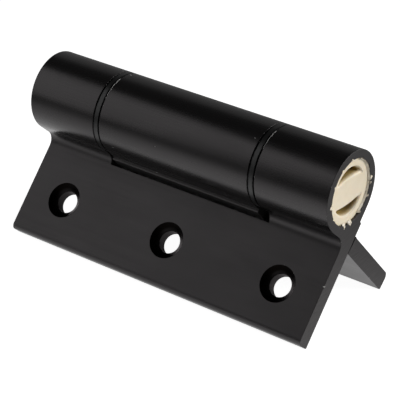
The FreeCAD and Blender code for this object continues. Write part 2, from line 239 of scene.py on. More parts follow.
class HingeDetailSettings(bpy.types.PropertyGroup):
    """Sizes of the small pieces on the hinge."""

    tear_thickness: FloatProperty(
        name="Tear thickness",
        description="Thickness of the torn plastic at the plugs' teeth",
        subtype="DISTANCE",
        default=0.22 * MM,
    )
    tear_root: FloatProperty(
        name="Tear root",
        description="How far inside the tips of the plugs' teeth the torn plastic starts",
        subtype="DISTANCE",
        default=1.2 * MM,
    )
    tear_fold: FloatProperty(
        name="Tear fold",
        description="Length of each of the two folds by which the torn plastic rises to the bore's edge",
        subtype="DISTANCE",
        default=0.35 * MM,
    )
    tear_ragged: FloatProperty(
        name="Tear raggedness",
        description="How far the points of the torn plastic stray",
        subtype="DISTANCE",
        default=0.09 * MM,
    )
    smear_reach: FloatProperty(
        name="Smear reach",
        description="From the barrel's axis to the outer edge of the smeared plastic",
        subtype="DISTANCE",
        default=11.1 * MM,
    )
    smear_rise: FloatProperty(
        name="Smear rise",
        description="How far the smeared plastic climbs from the plugs' face along the bore",
        subtype="DISTANCE",
        default=0.45 * MM,
    )
    mouth_reach: FloatProperty(
        name="Mouth reach",
        description="From the barrel's axis to the rim side of the pockets' mouths",
        subtype="DISTANCE",
        default=8.45 * MM,
    )
    mouth_web: FloatProperty(
        name="Web at the mouths",
        description="Half the web between the pockets' mouths, at its middle",
        subtype="DISTANCE",
        default=4.1 * MM,
    )
    web_curve: FloatProperty(
        name="Web curve",
        description="Radius of the web's swelling sides",
        subtype="DISTANCE",
        default=40.0 * MM,
    )
    rim_round: FloatProperty(
        name="Rim rounding",
        description="Width of the rounding between the plugs' rim and the pockets",
        subtype="DISTANCE",
        default=0.6 * MM,
    )
    web_round: FloatProperty(
        name="Web rounding",
        description="Width of the rounding between the plugs' web and the pockets",
        subtype="DISTANCE",
        default=1.0 * MM,
    )
    mouth_depth: FloatProperty(
        name="Mouth depth",
        description="Depth of the rounded mouths of the pockets",
        subtype="DISTANCE",
        default=1.4 * MM,
    )
    dish_reach: FloatProperty(
        name="Dish reach",
        description="Radius of the shallow dish in the plugs' faces",
        subtype="DISTANCE",
        default=10.4 * MM,
    )
    dish_depth: FloatProperty(
        name="Dish depth",
        description="Depth of the shallow dish in the plugs' faces",
        subtype="DISTANCE",
        default=0.45 * MM,
    )
    pocket_corner: FloatProperty(
        name="Pocket corner",
        description="Rounding of the pockets' corners",
        subtype="DISTANCE",
        default=0.35 * MM,
    )
    pocket_depth: FloatProperty(
        name="Pocket depth",
        description="From the plugs' face to the bottom of the pockets",
        subtype="DISTANCE",
        default=9.0 * MM,
    )
    pocket_reach: FloatProperty(
        name="Solid's pockets",
        description="From the barrel's axis to just beyond the pockets of the plain solid",
        subtype="DISTANCE",
        default=8.6 * MM,
    )
    chip_size: FloatProperty(
        name="Chip size",
        description="Typical size of a chip in the anodised layer",
        subtype="DISTANCE",
        default=0.35 * MM,
    )
    burr_thickness: FloatProperty(
        name="Burr thickness",
        description="Thickness of the burrs along the knuckles' edges",
        subtype="DISTANCE",
        default=0.22 * MM,
    )


class HingeStageSettings(bpy.types.PropertyGroup):
    """Camera, lamps and floor."""

    azimuth: FloatProperty(
        name="Azimuth",
        description="Camera's direction around the hinge, from the front towards the right",
        subtype="ANGLE",
        default=math.radians(36.3288),
    )
    elevation: FloatProperty(
        name="Elevation",
        description="Camera's height as an angle",
        subtype="ANGLE",
        default=math.radians(29.1231),
    )
    roll: FloatProperty(
        name="Roll",
        description="Turn of the camera about its own axis",
        subtype="ANGLE",
        default=math.radians(-0.6603),
    )
    camera_place: FloatVectorProperty(
        name="Camera",
        description="Place of the camera from the middle of the barrel",
        subtype="XYZ",
        unit="LENGTH",
        default=(0.29434, -0.39797, 0.25262),
    )
    lens: FloatProperty(
        name="Focal length",
        description="Focal length on a sensor 36 mm wide",
        unit="CAMERA",
        default=152.11,
    )
    front_power: FloatProperty(
        name="Front softbox",
        description="Power of the softbox that lights the leaves",
        unit="POWER",
        default=3.0,
    )
    back_power: FloatProperty(
        name="Back softbox",
        description="Power of the softbox behind the barrel",
        unit="POWER",
        default=0.3,
    )
    right_power: FloatProperty(
        name="Right softbox",
        description="Power of the softbox that lights the right end",
        unit="POWER",
        default=26.5,
    )
    floor_radius: FloatProperty(
        name="Floor radius",
        description="Size of the studio floor",
        subtype="DISTANCE",
        default=3.0,
    )
    # Painted pool of light: the floor is paler around the hinge and darker away from it, as if lit only there
    floor_painted_pool: FloatVectorProperty(
        name="Floor",
        description="Colour of the studio floor around the hinge",
        subtype="COLOR",
        default=(0.60, 0.60, 0.60),
    )
    floor_painted_far: FloatVectorProperty(
        name="Floor, far",
        description="Colour of the studio floor away from the hinge",
        subtype="COLOR",
        default=(0.10, 0.10, 0.10),
    )
    floor_glow: FloatProperty(
        name="Floor glow",
        description="White that the camera sees in the floor on top of its light",
        subtype="FACTOR",
        min=0.0,
        max=1.0,
        default=0.95,
    )
    # Painted reflections: glow that only glossy surfaces see in the floor
    floor_gloss: FloatProperty(
        name="Floor in gloss",
        description="White that glossy surfaces see in the floor in front, on top of its light",
        subtype="FACTOR",
        min=0.0,
        max=1.0,
        default=0.72,
    )
    floor_under: FloatProperty(
        name="Floor under the hinge",
        description="White that glossy surfaces see in the floor between the leaves",
        subtype="FACTOR",
        min=0.0,
        max=1.0,
        default=0.85,
    )
    floor_gloss_far: FloatProperty(
        name="Floor in gloss, far",
        description="White that glossy surfaces see in the floor away from the hinge",
        subtype="FACTOR",
        min=0.0,
        max=1.0,
        default=0.16,
    )
    room_low: FloatProperty(
        name="Room, low",
        description="Brightness of the room near the floor",
        subtype="FACTOR",
        min=0.0,
        max=1.0,
        default=0.03,
    )
    room_high: FloatProperty(
        name="Room, high",
        description="Brightness of the room overhead",
        subtype="FACTOR",
        min=0.0,
        max=1.0,
        default=0.05,
    )


def settings():
    """The three groups of settings."""
    scene = bpy.context.scene
    return scene.hinge_finish, scene.hinge_detail, scene.hinge_stage


# Nodes

def fill(tree, node, values):
    """Fills a node's sockets with values, or joins them to other nodes' outputs."""
    for name, content in values.items():
        if isinstance(content, bpy.types.NodeSocket):
            tree.links.new(content, node.inputs[name])
        else:
            node.inputs[name].default_value = content


def add_node(tree, kind, values=None, **options):
    """A node with its options set and its sockets filled."""
    node = tree.nodes.new(kind)
    for option, choice in options.items():
        setattr(node, option, choice)
    fill(tree, node, values or {})
    return node


def arithmetic(tree, operation, *values):
    """The result of a sum on one to three values."""
    return add_node(tree, "ShaderNodeMath", dict(enumerate(values)), operation=operation).outputs["Value"]


def vector_sum(tree, operation, *vectors):
    """The results of a sum on one or two vectors."""
    return add_node(tree, "ShaderNodeVectorMath", dict(enumerate(vectors)), operation=operation).outputs


def remap(tree, source, low, high, to_low, to_high):
    """A value spread from one range to another, and held at its ends."""
    node = add_node(
        tree,
        "ShaderNodeMapRange",
        {"Value": source, "From Min": low, "From Max": high, "To Min": to_low, "To Max": to_high},
    )
    return node.outputs["Result"]


def spread(tree, noise, to_low, to_high):
    """A noise spread from the range that it mostly keeps to, to another."""
    return remap(tree, noise, 0.3, 0.7, to_low, to_high)


def blotches(tree, noise):
    """A noise hardened into blotches of zero and one."""
    return remap(tree, noise, 0.35, 0.65, 0.0, 1.0)


def opaque(colour):
    """A colour with full alpha. A socket stays as it is."""
    if isinstance(colour, bpy.types.NodeSocket):
        return colour
    return (*colour, 1.0)


def blend_values(tree, share, first, second):
    """A value between two others."""
    node = add_node(tree, "ShaderNodeMix", {"Factor": share, "A": first, "B": second}, data_type="FLOAT")
    return node.outputs["Result"]


def blend_colours(tree, share, first, second):
    """A colour between two others."""
    sockets = {"Factor": share, "A": opaque(first), "B": opaque(second)}
    return add_node(tree, "ShaderNodeMix", sockets, data_type="RGBA").outputs["Result"]


def split(tree, source):
    """The three parts of a vector."""
    return add_node(tree, "ShaderNodeSeparateXYZ", {"Vector": source}).outputs


def object_place(tree):
    """The place of a point on the piece, in metres."""
    return add_node(tree, "ShaderNodeTexCoord").outputs["Object"]


def stretched_noise(tree, scales, detail):
    """Noise on the piece's own coordinates, with features per metre along each axis."""
    mapping = add_node(tree, "ShaderNodeMapping", {"Vector": object_place(tree), "Scale": scales})
    noise = add_node(
        tree,
        "ShaderNodeTexNoise",
        {"Vector": mapping.outputs["Vector"], "Scale": 1.0, "Detail": detail, "Roughness": 0.6},
    )
    return noise.outputs["Fac"]


def even_noise(tree, scale, detail):
    """Noise with the same features per metre along every axis."""
    return stretched_noise(tree, (scale, scale, scale), detail)


# Materials

def empty_material(name):
    """A material, its node tree and the output, which is all that the tree holds."""
    material = bpy.data.materials.new(name)
    material.use_nodes = True
    tree = material.node_tree
    tree.nodes.clear()
    return material, tree, add_node(tree, "ShaderNodeOutputMaterial")


def new_material(name):
    """A material, its node tree and its shader, already joined to the output."""
    material, tree, output = empty_material(name)
    shader = add_node(tree, "ShaderNodeBsdfPrincipled")
    tree.links.new(shader.outputs["BSDF"], output.inputs["Surface"])
    return material, tree, shader


def add_bump(tree, shader, strength, depth, height, normal=None):
    """Gives a shader its fine relief, over softened edges where they are given."""
    values = {"Strength": strength, "Distance": depth, "Height": height}
    if normal:
        values["Normal"] = normal
    bump = add_node(tree, "ShaderNodeBump", values)
    fill(tree, shader, {"Normal": bump.outputs["Normal"]})


def soft_edges(tree, radius):
    """The normal with its edges rounded, and how near a point lies to an edge."""
    rounded = add_node(tree, "ShaderNodeBevel", {"Radius": radius}, samples=6).outputs["Normal"]
    face = add_node(tree, "ShaderNodeNewGeometry").outputs["Normal"]
    alike = vector_sum(tree, "DOT_PRODUCT", rounded, face)["Value"]
    return rounded, remap(tree, alike, *EDGE_TURN, 0.0, 1.0)


def sawn_mask(tree):
    """One on the faces that look along the barrel, which a saw made."""
    face = add_node(tree, "ShaderNodeNewGeometry").outputs["True Normal"]
    along = arithmetic(tree, "ABSOLUTE", split(tree, face)["X"])
    return remap(tree, along, *SAWN_TURN, 0.0, 1.0)


def barrel_mask(tree):
    """One on the barrel and zero on the leaves."""
    from_axis = vector_sum(tree, "SUBTRACT", object_place(tree), BARREL_AXIS)["Vector"]
    across = vector_sum(tree, "MULTIPLY", from_axis, (0.0, 1.0, 1.0))["Vector"]
    radius = vector_sum(tree, "LENGTH", across)["Value"]
    return remap(tree, radius, *BARREL_FINISH, 0.0, 1.0)


def countersink_mask(tree, reach):
    """One inside the countersunk holes, with the distance from the screw's axis."""
    place = split(tree, object_place(tree))
    normal = split(tree, add_node(tree, "ShaderNodeNewGeometry").outputs["True Normal"])
    side = arithmetic(tree, "SIGN", place["Y"])
    lean_out = abs(SCREW_AXIS.y)
    lean_up = SCREW_AXIS.z

    half_pitch = SCREW_PITCH / 2.0
    across = arithmetic(tree, "WRAP", place["X"], half_pitch, -half_pitch)
    outward = arithmetic(tree, "SUBTRACT", arithmetic(tree, "ABSOLUTE", place["Y"]), abs(SCREW_PLACE.y))
    upward = arithmetic(tree, "SUBTRACT", place["Z"], SCREW_PLACE.z)
    down_leaf = arithmetic(tree, "MULTIPLY", outward, lean_up)
    along = arithmetic(tree, "SUBTRACT", down_leaf, arithmetic(tree, "MULTIPLY", upward, lean_out))
    across_square = arithmetic(tree, "POWER", across, 2.0)
    along_square = arithmetic(tree, "POWER", along, 2.0)
    distance = arithmetic(tree, "SQRT", arithmetic(tree, "ADD", across_square, along_square))

    facing_out = arithmetic(tree, "MULTIPLY", arithmetic(tree, "MULTIPLY", side, normal["Y"]), lean_out)
    facing = arithmetic(tree, "ADD", facing_out, arithmetic(tree, "MULTIPLY", normal["Z"], lean_up))
    on_wall = arithmetic(tree, "LESS_THAN", arithmetic(tree, "ABSOLUTE", facing), WALL_TURN)
    near_screw = arithmetic(tree, "LESS_THAN", distance, reach)
    return arithmetic(tree, "MULTIPLY", on_wall, near_screw), distance


def anodised_material(finish):
    """Satin black anodised aluminium: drawn lines, sawn ends, turned holes with painted shade on their walls,
    and worn edges.
    """
    material, tree, shader = new_material("anodised_aluminium")
    normal, near_edge = soft_edges(tree, finish.edge_radius)
    sawn = sawn_mask(tree)
    sunk, from_screw = countersink_mask(tree, finish.countersink_radius)
    lines = stretched_noise(tree, (9.0, 1700.0, 1700.0), detail=5.0)
    broad = stretched_noise(tree, (45.0, 130.0, 130.0), detail=3.0)
    grain = even_noise(tree, 5200.0, detail=2.0)
    saw_marks = stretched_noise(tree, (300.0, 140.0, 2600.0), detail=3.0)
    wear = even_noise(tree, 420.0, detail=3.0)
    turned_marks = add_node(
        tree,
        "ShaderNodeTexNoise",
        {"W": from_screw, "Scale": 5000.0, "Detail": 2.0},
        noise_dimensions="1D",
    ).outputs["Fac"]

    worn = arithmetic(tree, "MULTIPLY", near_edge, remap(tree, wear, 0.62, 0.72, 0.0, 1.0))
    worn = arithmetic(tree, "MULTIPLY", worn, arithmetic(tree, "SUBTRACT", 1.0, sunk))
    colour = blend_colours(tree, sawn, finish.anodised, finish.sawn)
    colour = blend_colours(tree, sunk, colour, finish.turned)
    colour = blend_colours(tree, worn, colour, finish.bare_metal)
    # Painted shade: the countersinks' walls turn metallic with their near-black colour, so they reflect
    # almost nothing
    shadowed = arithmetic(tree, "MULTIPLY", sunk, remap(tree, from_screw, *HOLE_SHADE, 0.6, 1.0))
    dull = arithmetic(tree, "MAXIMUM", shadowed, arithmetic(tree, "MULTIPLY", sawn, 0.45))

    polish = blend_values(tree, barrel_mask(tree), 0.36, 0.26)
    streaks = arithmetic(tree, "ADD", spread(tree, lines, 0.0, 0.04), spread(tree, broad, -0.03, 0.03))
    satin = arithmetic(tree, "ADD", polish, streaks)
    cut = blend_values(tree, sawn, satin, spread(tree, saw_marks, 0.55, 0.70))
    bore = remap(tree, from_screw, *HOLE_GLOSS, 0.55, 0.32)
    turned = arithmetic(tree, "ADD", bore, spread(tree, turned_marks, 0.0, 0.1))
    fill(
        tree,
        shader,
        {
            "Base Color": colour,
            "Metallic": arithmetic(tree, "MAXIMUM", worn, dull),
            "Roughness": blend_values(tree, sunk, cut, turned),
            "Specular Tint": opaque(finish.anodised_gloss),
            "IOR": 1.6,
        },
    )

    drawn_relief = arithmetic(tree, "ADD", lines, arithmetic(tree, "MULTIPLY", grain, 0.6))
    cut_relief = blend_values(tree, sawn, drawn_relief, arithmetic(tree, "ADD", saw_marks, grain))
    relief = blend_values(tree, sunk, cut_relief, turned_marks)
    add_bump(tree, shader, 0.06, 0.05 * MM, relief, normal)
    return material


def cream_material(finish):
    """Natural moulded plastic with painted shade that darkens and warms it deep in its pockets, greased where
    it turns in the barrel.
    """
    material, tree, shader = new_material("cream_plastic")
    normal, _ = soft_edges(tree, finish.moulded_radius)
    cloud = even_noise(tree, 220.0, detail=3.0)
    grain = even_noise(tree, 2600.0, detail=3.0)
    # Painted shade: where pocket walls close round a point, the plastic turns towards its deep colour
    pocket_occlusion = add_node(tree, "ShaderNodeAmbientOcclusion", {"Distance": finish.shade_reach}, samples=8)
    unshaded_share = remap(tree, pocket_occlusion.outputs["AO"], 0.2, 0.8, 0.0, 1.0)
    mottled_and_shaded = arithmetic(tree, "MULTIPLY", unshaded_share, spread(tree, cloud, 0.90, 1.0))
    clean = blend_colours(tree, mottled_and_shaded, finish.cream_painted_shade, finish.cream)
    from_middle = arithmetic(tree, "ABSOLUTE", split(tree, object_place(tree))["X"])
    greased = remap(tree, from_middle, *GREASED, 0.0, 1.0)
    fill(
        tree,
        shader,
        {
            "Base Color": blend_colours(tree, greased, clean, finish.grease),
            "Roughness": spread(tree, grain, 0.42, 0.56),
            "Subsurface Weight": 0.25,
            "Subsurface Radius": (1.0, 0.8, 0.45),
            "Subsurface Scale": 1.2 * MM,
        },
    )
    add_bump(tree, shader, 0.15, 0.06 * MM, grain, normal)
    return material


def torn_material(finish):
    """Torn plastic, stretched pale and dull."""
    material, tree, shader = new_material("torn_plastic")
    grain = even_noise(tree, 1800.0, detail=2.0)
    stretched = tuple(channel * 0.6 + 0.35 for channel in finish.cream)
    colour = blend_colours(tree, blotches(tree, grain), finish.cream, stretched)
    fill(tree, shader, {"Base Color": colour, "Roughness": spread(tree, grain, 0.5, 0.65)})
    return material


def washer_material(finish):
    """Black moulded plastic with a fine turned grain, and painted shade along its edges, where it reflects
    almost nothing.
    """
    material, tree, shader = new_material("washer_plastic")
    normal, _ = soft_edges(tree, finish.edge_radius)
    grain = stretched_noise(tree, (3200.0, 700.0, 700.0), detail=3.0)
    speckle = even_noise(tree, 1200.0, detail=2.0)
    paler = tuple(channel * 2.0 for channel in finish.washer_black)
    share = remap(tree, grain, 0.4, 0.6, 0.0, 1.0)
    # Painted shade: near its edges the washer turns metallic with its black colour, so the gaps beside it
    # look wider and darker
    from_middle = arithmetic(tree, "ABSOLUTE", split(tree, object_place(tree))["X"])
    across = arithmetic(tree, "ABSOLUTE", arithmetic(tree, "SUBTRACT", from_middle, WASHER_MIDDLE))
    ragged = arithmetic(tree, "ADD", across, spread(tree, speckle, -0.1 * MM, 0.1 * MM))
    fill(
        tree,
        shader,
        {
            "Base Color": blend_colours(tree, share, finish.washer_black, paler),
            "Metallic": remap(tree, ragged, *WASHER_SHADED_RIM, 0.0, 1.0),
            "Roughness": spread(tree, grain, 0.28, 0.38),
            "IOR": 1.55,
        },
    )
    add_bump(tree, shader, 0.12, 0.05 * MM, grain, normal)
    return material


def steel_material(name, colour, lines_along, roughness):
    """Steel with fine lines, ground on the pin and drawn on the spring."""
    material, tree, shader = new_material(name)
    lines = stretched_noise(tree, (lines_along, 1500.0, 1500.0), detail=4.0)
    stains = even_noise(tree, 180.0, detail=3.0)
    darker = tuple(channel * 0.7 for channel in colour)
    fill(
        tree,
        shader,
        {
            "Base Color": blend_colours(tree, blotches(tree, stains), darker, colour),
            "Metallic": 1.0,
            "Roughness": spread(tree, lines, roughness, roughness + 0.12),
        },
    )
    add_bump(tree, shader, 0.1, 0.05 * MM, lines)
    return material


def bare_material(name, colour):
    """Dull metal in a chip or along a burr of the anodised layer."""
    material, tree, shader = new_material(name)
    speck = even_noise(tree, 4000.0, detail=2.0)
    dull = tuple(channel * 0.75 for channel in colour)
    mixed = blend_colours(tree, blotches(tree, speck), dull, colour)
    fill(tree, shader, {"Base Color": mixed, "Roughness": spread(tree, speck, 0.45, 0.65)})
    return material


def dress(nodes, material):
    """Gives CAD nodes a material in every slot."""
    for name in nodes:
        slots = frame["nodes"][name].material_slots
        if not slots:
            raise RuntimeError(f"{name} has no material slot")
        for slot in slots:
            slot.material = material


# Modelling

def start_clean():
    """Leaves edit mode and deselects everything, so that an operator acts only on what is added next."""
    if bpy.context.object and bpy.context.object.mode != "OBJECT":
        bpy.ops.object.mode_set(mode="OBJECT")
    bpy.ops.object.select_all(action="DESELECT")


def select_only(piece):
    """Makes a piece the one that an operator acts on."""
    start_clean()
    piece.select_set(True)
    bpy.context.view_layer.objects.active = piece


def edit_all():
    """Opens the active piece in edit mode, with all of it selected."""
    bpy.ops.object.mode_set(mode="EDIT")
    bpy.ops.mesh.select_all(action="SELECT")


def clear_choice(kind):
    """Deselects all of the active piece's vertices or faces, ready to be selected in code."""
    bpy.ops.object.mode_set(mode="EDIT")
    bpy.ops.mesh.select_mode(type=kind)
    bpy.ops.mesh.select_all(action="DESELECT")
    bpy.ops.object.mode_set(mode="OBJECT")


def select_vertices(piece, wanted):
    """Selects, in edit mode, the vertices for which wanted(place) is true."""
    clear_choice("VERT")
    for vertex in piece.data.vertices:
        vertex.select = wanted(vertex.co)
    bpy.ops.object.mode_set(mode="EDIT")


def select_faces(piece, wanted):
    """Selects, in edit mode, the faces for whose every corner wanted(place) is true."""
    clear_choice("FACE")
    corners = piece.data.vertices
    for face in piece.data.polygons:
        face.select = all(wanted(corners[number].co) for number in face.vertices)
    bpy.ops.object.mode_set(mode="EDIT")


def merge_points():
    """Merges, in edit mode, the points that fall together."""
    bpy.ops.mesh.select_all(action="SELECT")
    bpy.ops.mesh.remove_doubles(threshold=SAME_PLACE)


def turn_outward():
    """Turns all faces outward and leaves edit mode."""
    bpy.ops.mesh.select_all(action="SELECT")
    bpy.ops.mesh.normals_make_consistent(inside=False)
    bpy.ops.object.mode_set(mode="OBJECT")


def place_in_mesh():
    """Puts the place, turn and scale of the active piece into its mesh."""
    bpy.ops.object.transform_apply(location=True, rotation=True, scale=True)


def turned_copy(piece, axis):
    """A copy of a piece, turned half round about an axis through the middle of the barrel."""
    select_only(piece)
    bpy.ops.object.duplicate()
    copy = bpy.context.object
    edit_all()
    bpy.ops.transform.rotate(value=math.pi, orient_axis=axis, center_override=BARREL_AXIS)
    bpy.ops.object.mode_set(mode="OBJECT")
    return copy


def sweep_round(centre, sweep, steps, ragged, seed):
    """Sweeps the active piece's one face about the barrel into a closed band with a ragged surface."""
    edit_all()
    bpy.ops.mesh.spin(steps=steps, angle=math.radians(sweep), center=centre, axis=(-1.0, 0.0, 0.0))
    merge_points()
    bpy.ops.mesh.normals_make_consistent(inside=False)
    bpy.ops.transform.vertex_random(offset=ragged, uniform=0.6, normal=0.0, seed=seed)
    # Spin leaves the faces in an order that changes from run to run
    bpy.ops.mesh.sort_elements(type="CURSOR_DISTANCE", elements={"FACE"})
    bpy.ops.object.mode_set(mode="OBJECT")


def finish_piece(piece, name, body, material, smooth_angle):
    """Puts a piece's place into its mesh, then names it, dresses it and lets it ride."""
    bpy.ops.object.mode_set(mode="OBJECT")
    place_in_mesh()
    piece.name = name
    piece.data.name = name
    piece.data.materials.clear()
    piece.data.materials.append(material)
    bpy.ops.object.shade_smooth_by_angle(angle=math.radians(smooth_angle))
    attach(piece, body)


def trace_arc(piece, start, centre, sweep, steps):
    """Draws an arc across the barrel from a vertex, towards +Z from +Y where sweep is positive."""
    select_vertices(piece, lambda place: (place - start).length < SAME_PLACE)
    bpy.ops.mesh.spin(
        steps=steps,
        angle=abs(sweep),
        center=centre,
        axis=(math.copysign(1.0, -sweep), 0.0, 0.0),
    )


def trace_ring(piece, along, reach, web_half, detail):
    """Draws a pocket's outline across the barrel as one loop of four arcs: rim, corner, web and corner."""
    corner = detail.pocket_corner
    web_drop = web_half - detail.web_curve
    to_web = detail.web_curve + corner
    corner_up = (web_drop**2 - to_web**2 + (reach - corner) ** 2) / (2.0 * web_drop)
    corner_out = math.sqrt((reach - corner) ** 2 - corner_up**2)
    rim_angle = math.atan2(corner_up, corner_out)
    web_angle = math.atan2(corner_out, corner_up - web_drop)
    corner_sweep = math.pi / 2.0 + rim_angle + web_angle

    middle = Vector((along, 0.0, BARREL_AXIS.z))
    right = middle + Vector((0.0, corner_out, corner_up))
    left = middle + Vector((0.0, -corner_out, corner_up))
    below = middle + Vector((0.0, 0.0, web_drop))
    right_rim = middle + (right - middle).normalized() * reach
    left_rim = middle + (left - middle).normalized() * reach
    left_web = below + (left - below).normalized() * detail.web_curve
    right_web = below + (right - below).normalized() * detail.web_curve

    bpy.ops.object.mode_set(mode="EDIT")
    bpy.ops.mesh.select_mode(type="VERT")
    bpy.ops.mesh.select_all(action="DESELECT")
    bpy.ops.mesh.primitive_plane_add(size=MM, location=right_rim)
    bpy.ops.mesh.merge(type="CENTER")
    trace_arc(piece, right_rim, middle, math.pi - 2.0 * rim_angle, RIM_STEPS)
    trace_arc(piece, left_rim, left, corner_sweep, CORNER_STEPS)
    trace_arc(piece, left_web, below, -2.0 * web_angle, WEB_STEPS)
    trace_arc(piece, right_web, right, corner_sweep, CORNER_STEPS)
    merge_points()


def make_pocket(detail):
    """The space of the right plug's upper pocket, with its mouth widening to the plug's face."""
    start_clean()
    bpy.ops.mesh.primitive_plane_add(size=MM, location=(0.0, 0.0, 0.0))
    pocket = bpy.context.object
    edit_all()
    bpy.ops.mesh.delete(type="VERT")

    rings = [(PLUG_FACE + detail.mouth_depth, 0.0)]
    for step in range(MOUTH_STEPS + 1):
        turn = math.pi / 2.0 * step / MOUTH_STEPS
        depth = detail.dish_depth / 2.0 + detail.mouth_depth * (1.0 - math.cos(turn))
        rings.append((PLUG_FACE - depth, math.sin(turn)))
    rings.append((PLUG_FACE - detail.pocket_depth, 1.0))
    for along, share in rings:
        reach = detail.mouth_reach - share * detail.rim_round
        web_half = detail.mouth_web + share * detail.web_round
        trace_ring(pocket, along, reach, web_half, detail)

    places = [along for along, _ in rings]
    for first, second in zip(places, places[1:]):
        select_vertices(pocket, lambda place: min(abs(place.x - first), abs(place.x - second)) < SAME_PLACE)
        bpy.ops.mesh.bridge_edge_loops()
    for end in (places[0], places[-1]):
        select_vertices(pocket, lambda place: abs(place.x - end) < SAME_PLACE)
        bpy.ops.mesh.edge_face_add()
    turn_outward()
    return pocket


def make_dish(detail):
    """The shallow space in front of the right plug's dished face."""
    start_clean()
    bpy.ops.mesh.primitive_circle_add(
        vertices=DISH_SIDES,
        radius=detail.dish_reach,
        fill_type="NGON",
        location=(PLUG_FACE, 0.0, BARREL_AXIS.z),
        rotation=(0.0, math.pi / 2.0, 0.0),
    )
    dish = bpy.context.object
    place_in_mesh()
    bpy.ops.object.mode_set(mode="EDIT")
    bpy.ops.mesh.select_mode(type="FACE")
    bpy.ops.mesh.select_all(action="SELECT")
    for step in range(1, DISH_STEPS):
        outer = 1.0 - (step - 1) / DISH_STEPS
        inner = 1.0 - step / DISH_STEPS
        drop = detail.dish_depth * (outer**2 - inner**2)
        bpy.ops.mesh.inset(thickness=detail.dish_reach / DISH_STEPS, depth=-drop)
    bpy.ops.mesh.select_mode(type="VERT")
    bpy.ops.mesh.select_all(action="DESELECT")
    bpy.ops.mesh.select_non_manifold()
    bpy.ops.mesh.extrude_region_move(TRANSFORM_OT_translate={"value": (detail.mouth_depth, 0.0, 0.0)})
    bpy.ops.mesh.edge_face_add()
    turn_outward()
    return dish


def cut_away(piece, space):
    """Cuts a closed space out of a piece, merges points that fall together, then deletes the space."""
    select_only(piece)
    bpy.ops.object.modifier_add(type="BOOLEAN")
    cut = piece.modifiers[-1]
    cut.operation = "DIFFERENCE"
    cut.solver = "EXACT"
    cut.object = space
    bpy.ops.object.modifier_apply(modifier=cut.name)
    bpy.ops.object.mode_set(mode="EDIT")
    merge_points()
    select_only(space)
    bpy.ops.object.delete()


def close_face(piece, detail):
    """Takes the plain pockets out of a copy of the right plug's solid and closes its face."""
    floor = PLUG_FACE - detail.pocket_depth - SAME_PLACE

    def on_face(place):
        return abs(place.x - PLUG_FACE) < SAME_PLACE

    def in_pocket(place):
        from_axis = math.hypot(place.y, place.z - BARREL_AXIS.z)
        return place.x > floor and from_axis < detail.pocket_reach

    bpy.ops.object.mode_set(mode="EDIT")
    merge_points()
    select_faces(piece, lambda place: on_face(place) or in_pocket(place))
    bpy.ops.mesh.delete(type="FACE")
    select_vertices(piece, on_face)
    bpy.ops.mesh.edge_face_add()
    turn_outward()


def make_right_plug(detail):
    """The right plug with a dished face and rounded pocket mouths, shaped from a copy of its solid."""
    select_only(frame["nodes"]["right_end_plug"])
    bpy.ops.object.duplicate()
    plug = bpy.context.object
    bpy.ops.object.parent_clear(type="CLEAR_KEEP_TRANSFORM")
    del plug["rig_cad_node"]
    bpy.ops.mesh.customdata_custom_splitnormals_clear()
    close_face(plug, detail)
    cut_away(plug, make_dish(detail))
    upper = make_pocket(detail)
    lower = turned_copy(upper, "X")
    cut_away(plug, upper)
    cut_away(plug, lower)
    return plug


def finish_plug(plug, name, node, material):
    """Lets a plug ride in place of its solid, with its flat faces shaded flat beside the roundings."""
    select_only(plug)
    finish_piece(plug, name, "frame_side", material, PLUG_SMOOTH)
    bpy.ops.object.modifier_add(type="WEIGHTED_NORMAL")
    weighted = plug.modifiers[-1]
    weighted.keep_sharp = True
    bpy.ops.object.modifier_apply(modifier=weighted.name)
    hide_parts(node)


def make_tear(end, angle, tip, width, seed, detail):
    """A sliver of torn plastic that rises from a plug's face and folds over the bore's edge to a point."""
    root = TOOTH_RADIUS - detail.tear_root
    length = tip - root
    recess = HALF_LENGTH - PLUG_FACE
    start_clean()
    bpy.ops.mesh.primitive_cone_add(
        vertices=TEAR_SIDES,
        radius1=width / 2.0,
        radius2=TEAR_TIP * width,
        depth=length,
        end_fill_type="NGON",
        location=(0.0, 0.0, 0.0),
    )
    piece = bpy.context.object
    edit_all()
    bpy.ops.transform.resize(value=(detail.tear_thickness / width, 1.0, 1.0), center_override=(0.0, 0.0, 0.0))
    bpy.ops.transform.translate(value=(0.0, 0.0, root + length / 2.0))
    bpy.ops.mesh.subdivide(number_cuts=TEAR_CUTS)
    bpy.ops.transform.vertex_random(offset=detail.tear_ragged, uniform=0.7, normal=0.0, seed=seed)
    for fold in (root + detail.tear_fold, root + 2.0 * detail.tear_fold):
        select_vertices(piece, lambda place: place.z < fold)
        bpy.ops.transform.translate(value=(-end * recess / 2.0, 0.0, 0.0))
    bpy.ops.object.mode_set(mode="OBJECT")
    piece.location = (end * (HALF_LENGTH + detail.tear_thickness / 3.0), 0.0, BARREL_AXIS.z)
    piece.rotation_euler = (angle - math.pi / 2.0, 0.0, 0.0)
    place_in_mesh()
    return piece


def make_smear(end, start, sweep, seed, detail):
    """A thin band of plastic, smeared from a plug's face up to the bore's edge."""
    root = TOOTH_RADIUS - detail.tear_root
    height = detail.smear_reach - root
    middle = root + height / 2.0
    start_clean()
    bpy.ops.mesh.primitive_plane_add(size=1.0, location=(0.0, 0.0, 0.0))
    piece = bpy.context.object
    edit_all()
    bpy.ops.transform.resize(value=(detail.tear_thickness, height, 1.0), center_override=(0.0, 0.0, 0.0))
    bpy.ops.transform.translate(value=(end * PLUG_FACE, middle, 0.0))
    select_vertices(piece, lambda place: place.y > middle)
    bpy.ops.transform.translate(value=(end * detail.smear_rise, 0.0, 0.0))
    bpy.ops.object.mode_set(mode="OBJECT")
    piece.location = BARREL_AXIS
    piece.rotation_euler = (math.radians(start), 0.0, 0.0)
    place_in_mesh()
    sweep_round(BARREL_AXIS, sweep, round(sweep / SMEAR_STEP), detail.tear_thickness / 3.0, seed)
    return piece


